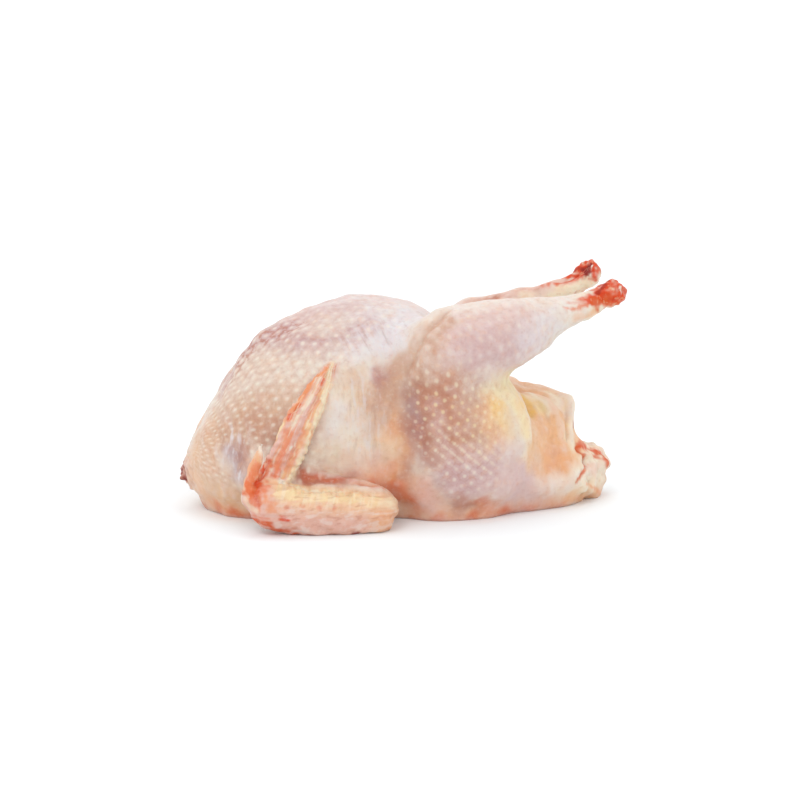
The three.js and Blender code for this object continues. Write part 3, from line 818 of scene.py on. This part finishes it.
def creases_of(place, parts):
    """Places across and along the fine wrinkles, and how strongly they show."""
    x, _, z = place.T
    shown = np.maximum.reduce([
        0.5 * bell(path_distance(place, [(-15, 26.5, 34), (-13, 27, 22)]), 5.5),
        bell(path_distance(place, [(-44.5, 16, 20), (-42.5, 22, 13)]), 4),
        0.6 * bell(path_distance(place, [(-15, 20, 44.5), (-4, 19, 47)]), 4.5),
    ])
    return np.stack([x + 0.5 * np.maximum(z - 36, 0), z, shown * parts["trunk"]], 1)


# ------------ the skin


def write_attribute(mesh, name, values):
    """A value at each corner of the mesh: a vector, or a colour where it has four numbers."""
    kind, field = ("FLOAT_VECTOR", "vector") if values.shape[1] == 3 else ("FLOAT_COLOR", "color")
    made = mesh.attributes.new(name, kind, "POINT")
    made.data.foreach_set(field, values.astype(np.float32).ravel())


def settled(points, normals, height, wing):
    """Where points lie once the relief stands out and the flesh sinks and spreads on the table."""
    spread = SAG * bell(points[:, 2], 1.6) * (0.45 - 0.3 * wing)
    moved = points + normals * (height[:, None] + spread[:, None] * [1, 1, 0])
    sinking = (1 - smoothstep(1.0, 4.0, points[:, 2])) * smoothstep(-0.1, 0.45, -normals[:, 2])
    moved[:, 2] -= SAG * sinking * (1 - 0.35 * wing)
    for shift, width, middle in SHIFTS:
        moved += bell(path_distance(points, [middle]), width)[:, None] * shift
    moved[:, 2] = np.maximum(moved[:, 2], 0)
    return moved


def hollowness(points, normals, neighbours, rounds=6):
    """How far each point lies below the mean of the points around it."""
    around = points
    for _ in range(rounds):
        around = neighbours.average(around)
    return ((around - points) * normals).sum(1)


def dress(shell):
    """Evens out the shell, moves its corners for the relief, and gives it its paint and material."""
    mesh = shell.data
    neighbours = Neighbours(mesh)
    points = corners_of(mesh)
    parts, _ = parts_of(pattern_place(points))
    small_forms = np.maximum(parts["wing"], smoothstep(46, 49, points[:, 0]))[:, None]
    broad = neighbours.smooth(points, 24)
    fine = neighbours.smooth(points, 4)
    points = broad * (1 - small_forms) + fine * small_forms
    move_corners(mesh, points)

    place = pattern_place(points)
    parts, limbs = parts_of(place)
    tracts = tracts_of(place, parts)
    height = relief(points, place, parts, limbs, tracts)
    moved = settled(points, normals_of(mesh), height, parts["wing"])
    move_corners(mesh, moved)

    hollow = hollowness(moved, normals_of(mesh), neighbours)
    colour = paint(points, place, parts, limbs, hollow)
    write_attribute(mesh, "paint", np.hstack([colour, np.ones((len(colour), 1))]))
    write_attribute(mesh, "layers", layers_of(place, parts))
    write_attribute(mesh, "creases", creases_of(place, parts))
    for name, field in tracts.items():
        write_attribute(mesh, f"tract_{name}", field)
    for name in LIMB_RADII:
        limb = np.stack([limbs[name].along, limbs[name].across, parts[name]], 1)
        write_attribute(mesh, f"limb_{name}", limb)
    mesh.shade_smooth()
    mesh.materials.clear()
    mesh.materials.append(skin_material())


class Nodes:
    """The nodes of one material, made by short calls."""

    def __init__(self, tree):
        self.tree = tree
        self.place = tree.nodes.new("ShaderNodeTexCoord").outputs["Object"]

    def attribute(self, name, count=3):
        """The three or four numbers kept at each of the mesh's corners under a name."""
        node = self.tree.nodes.new("ShaderNodeAttribute")
        node.attribute_name = name
        parted = self.tree.nodes.new("ShaderNodeSeparateXYZ")
        self.tree.links.new(node.outputs["Vector"], parted.inputs[0])
        return [Wire(socket) for socket in (*parted.outputs, node.outputs["Alpha"])][:count]

    def colour(self, name):
        """A colour kept at each of the mesh's corners under a name."""
        node = self.tree.nodes.new("ShaderNodeAttribute")
        node.attribute_name = name
        return Wire(node.outputs["Color"])

    def grain(self, size, detail, place=None):
        """Noise from 0 to 1 with grains of a size in millimetres, in place or in given coordinates."""
        node = self.tree.nodes.new("ShaderNodeTexNoise")
        self.tree.links.new(place or self.place, node.inputs["Vector"])
        node.inputs["Scale"].default_value = 1 / size if place else 1 / (size * MM)
        node.inputs["Detail"].default_value = detail
        return Wire(node.outputs["Fac"])

    def vector(self, x, y, z):
        node = self.tree.nodes.new("ShaderNodeCombineXYZ")
        for value, plug in zip((x, y, z), node.inputs):
            connect(value, plug)
        return node.outputs[0]

    def step(self, low, high, value):
        """From 0 at low to 1 at high, softly."""
        node = self.tree.nodes.new("ShaderNodeMapRange")
        node.interpolation_type = "SMOOTHSTEP"
        for plug, number in (("Value", value), ("From Min", low), ("From Max", high)):
            connect(number, node.inputs[plug])
        return Wire(node.outputs["Result"])

    def mix(self, weight, first, second):
        """First where the weight is 0, second where it is 1; a colour may be a palette name."""
        node = self.tree.nodes.new("ShaderNodeMix")
        node.data_type = "RGBA"
        connect(weight, node.inputs["Factor"])
        for value, plug in ((first, node.inputs[6]), (second, node.inputs[7])):
            connect((*linear(PALETTE[value]), 1) if isinstance(value, str) else value, plug)
        return Wire(node.outputs[2])


def greatest(wires):
    return reduce(lambda first, second: first.math("MAXIMUM", second), wires)


def follicles(nodes, streaks):
    """How strongly the pale follicles show, and how strongly the skin between them does."""
    spots, between = [], []
    for name, tract in TRACTS.items():
        u, v, shown = nodes.attribute(f"tract_{name}")
        du, dv, own = nearest_follicle(u, v, tract["pitch"], tract["spacing"])
        off = (du * du + dv * dv).math("SQRT")
        spot = nodes.step(tract["spot"], 0.25 * tract["spot"], off) * shown * (own * 0.5 + 0.5)
        if name == "thigh":
            line = nodes.step(0.5, 0.05, dv.math("ABSOLUTE")) * nodes.step(0.2, 0.9, du + 1.4)
            spot = spot.math("MAXIMUM", line * shown * streaks * 0.7)
        spots.append(spot)
        between.append(nodes.step(0.8, 1.35, off) * shown)
    return greatest(spots), greatest(between)


def skin_material():
    material = bpy.data.materials.new("raw_skin")
    material.use_nodes = True
    tree = material.node_tree
    nodes = Nodes(tree)

    net, warm, streaks, ends = nodes.attribute("layers", 4)
    quiet = 1 - ends * 0.85
    spots, between = follicles(nodes, streaks)
    grains = ((5, 2), (2.2, 2), (1.0, 4), (0.3, 3))
    broad, middle, small, pores = (nodes.grain(size, detail) for size, detail in grains)
    across, along, wrinkled = nodes.attribute("creases")
    crease = nodes.grain(1.0, 3, nodes.vector(across * 0.8, along * 0.22, 0.0))
    along, across, hand = nodes.attribute("limb_hand")
    streak = nodes.grain(1.0, 4, nodes.vector(along * 0.2, across * 4.2, 0.0))
    along, across, arm = nodes.attribute("limb_forearm")
    arm = arm * nodes.step(27.0, 23.0, along)
    ribs = nodes.grain(1.0, 2, nodes.vector(along * 0.8 + across * 1.2, across * 0.6, 0.0))
    fibres = nodes.grain(1.0, 4, nodes.vector(along * 0.3 + across * 1.6, across * 3.6, 0.0))

    colour = nodes.colour("paint")
    for weight, tint in (
        (nodes.step(0.5, 0.75, broad) * quiet * 0.18, "lilac"),
        (nodes.step(0.5, 0.72, middle) * quiet * 0.18, "apricot"),
        (nodes.step(0.54, 0.7, small) * 0.12, "rust"),
        (nodes.step(0.48, 0.3, small) * quiet * 0.14, "pale"),
        (between * net * nodes.step(0.35, 0.6, small) * 0.65, "rust"),
        (wrinkled * nodes.step(0.5, 0.34, crease) * 0.85, "frost"),
        (wrinkled * nodes.step(0.54, 0.68, crease) * 0.5, "umber"),
        (hand * nodes.step(0.52, 0.64, streak) * 0.45, "orange"),
        (hand * nodes.step(0.46, 0.34, streak) * 0.5, "cream"),
        (arm * nodes.step(0.52, 0.34, ribs) * nodes.step(0.0, 0.6, across) * 0.45, "cream"),
        (arm * nodes.step(0.5, 0.38, fibres) * nodes.step(0.5, 0.0, across) * 0.45, "pale"),
        (arm * nodes.step(0.54, 0.68, fibres) * 0.3, "rust"),
        (ends * nodes.step(0.56, 0.68, small) * 0.3, "peach"),
        (spots * 0.55, nodes.mix(warm, "bone", "butter")),
    ):
        colour = nodes.mix(weight, colour, tint)

    height = spots * 0.06 + small * 0.12 + pores * 0.04 + wrinkled * crease * 0.3
    height = height + hand * streak * 0.25 + arm * fibres * 0.15 + arm * ribs * 0.12
    bump = tree.nodes.new("ShaderNodeBump")
    bump.inputs["Distance"].default_value = MM
    bump.inputs["Strength"].default_value = 1.0
    connect(height, bump.inputs["Height"])

    shader = tree.nodes["Principled BSDF"]
    connect(colour, shader.inputs["Base Color"])
    connect(middle * 0.3 + 0.28, shader.inputs["Roughness"])
    tree.links.new(bump.outputs["Normal"], shader.inputs["Normal"])
    shader.inputs["Subsurface Weight"].default_value = 0.2
    shader.inputs["Subsurface Radius"].default_value = (1.0, 0.42, 0.28)
    shader.inputs["Subsurface Scale"].default_value = 1.4 * MM
    shader.inputs["Specular IOR Level"].default_value = 0.22
    shader.inputs["Coat Weight"].default_value = 0.07
    shader.inputs["Coat Roughness"].default_value = 0.22
    return material


# ------------ the studio

VIEW = {"azimuth": -10.0, "elevation": 9.5, "distance": 600.0, "pixels_per_mm": 3.9}
AIM = Vector((0.5, 0.0, 26.3))  # what the middle of the picture looks at
PICTURE = 800  # pixels wide and high
FLOOR = {"half": 60.0, "colour": (0.885, 0.925, 0.95, 1)}  # in metres, far past the picture's edge
SKY = 1.16  # how strongly the white surroundings shine
# Lamps: in metres from the bird, in watts.
LAMPS = (
    {"name": "key", "place": (-0.45, -0.75, 0.95), "energy": 1.9, "size": 0.3},
    {"name": "top", "place": (-0.1, 0.35, 1.2), "energy": 0.8, "size": 0.5},
)


def camera():
    azimuth, elevation = math.radians(VIEW["azimuth"]), math.radians(VIEW["elevation"])
    back = Vector((math.sin(azimuth) * math.cos(elevation),
                   -math.cos(azimuth) * math.cos(elevation), math.sin(elevation)))
    data = bpy.data.cameras.new("camera")
    data.sensor_width = 36
    data.lens = data.sensor_width * VIEW["distance"] * VIEW["pixels_per_mm"] / PICTURE
    data.clip_start, data.clip_end = 0.01, 200
    eye = added("camera", data)
    eye.location = (AIM + back * VIEW["distance"]) * MM
    eye.rotation_euler = back.to_track_quat("Z", "Y").to_euler()
    bpy.context.scene.camera = eye


def floor():
    mesh = bpy.data.meshes.new("floor")
    half = FLOOR["half"]
    corners = [(side * half, end * half, 0.0) for side, end in ((-1, -1), (1, -1), (1, 1), (-1, 1))]
    mesh.from_pydata(corners, [], [(0, 1, 2, 3)])
    material = bpy.data.materials.new("floor")
    material.use_nodes = True
    shader = material.node_tree.nodes["Principled BSDF"]
    shader.inputs["Base Color"].default_value = FLOOR["colour"]
    shader.inputs["Roughness"].default_value = 0.9
    shader.inputs["Specular IOR Level"].default_value = 0.1
    mesh.materials.append(material)
    piece = added("floor", mesh)


def lights():
    scene = bpy.context.scene
    scene.view_settings.view_transform = "Standard"
    world = bpy.data.worlds.new("studio")
    world.use_nodes = True
    background = world.node_tree.nodes["Background"]
    background.inputs["Color"].default_value = (1, 1, 1, 1)
    background.inputs["Strength"].default_value = SKY
    scene.world = world
    for lamp in LAMPS:
        data = bpy.data.lights.new(lamp["name"], "AREA")
        data.energy, data.size = lamp["energy"], lamp["size"]
        made = added(lamp["name"], data)
        made.location = lamp["place"]
        made.rotation_euler = Vector(lamp["place"]).to_track_quat("Z", "Y").to_euler()


skin = shell_of(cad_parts["quail"])
dress(skin)
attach(skin, "root")
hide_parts("quail")
floor()
lights()
camera()
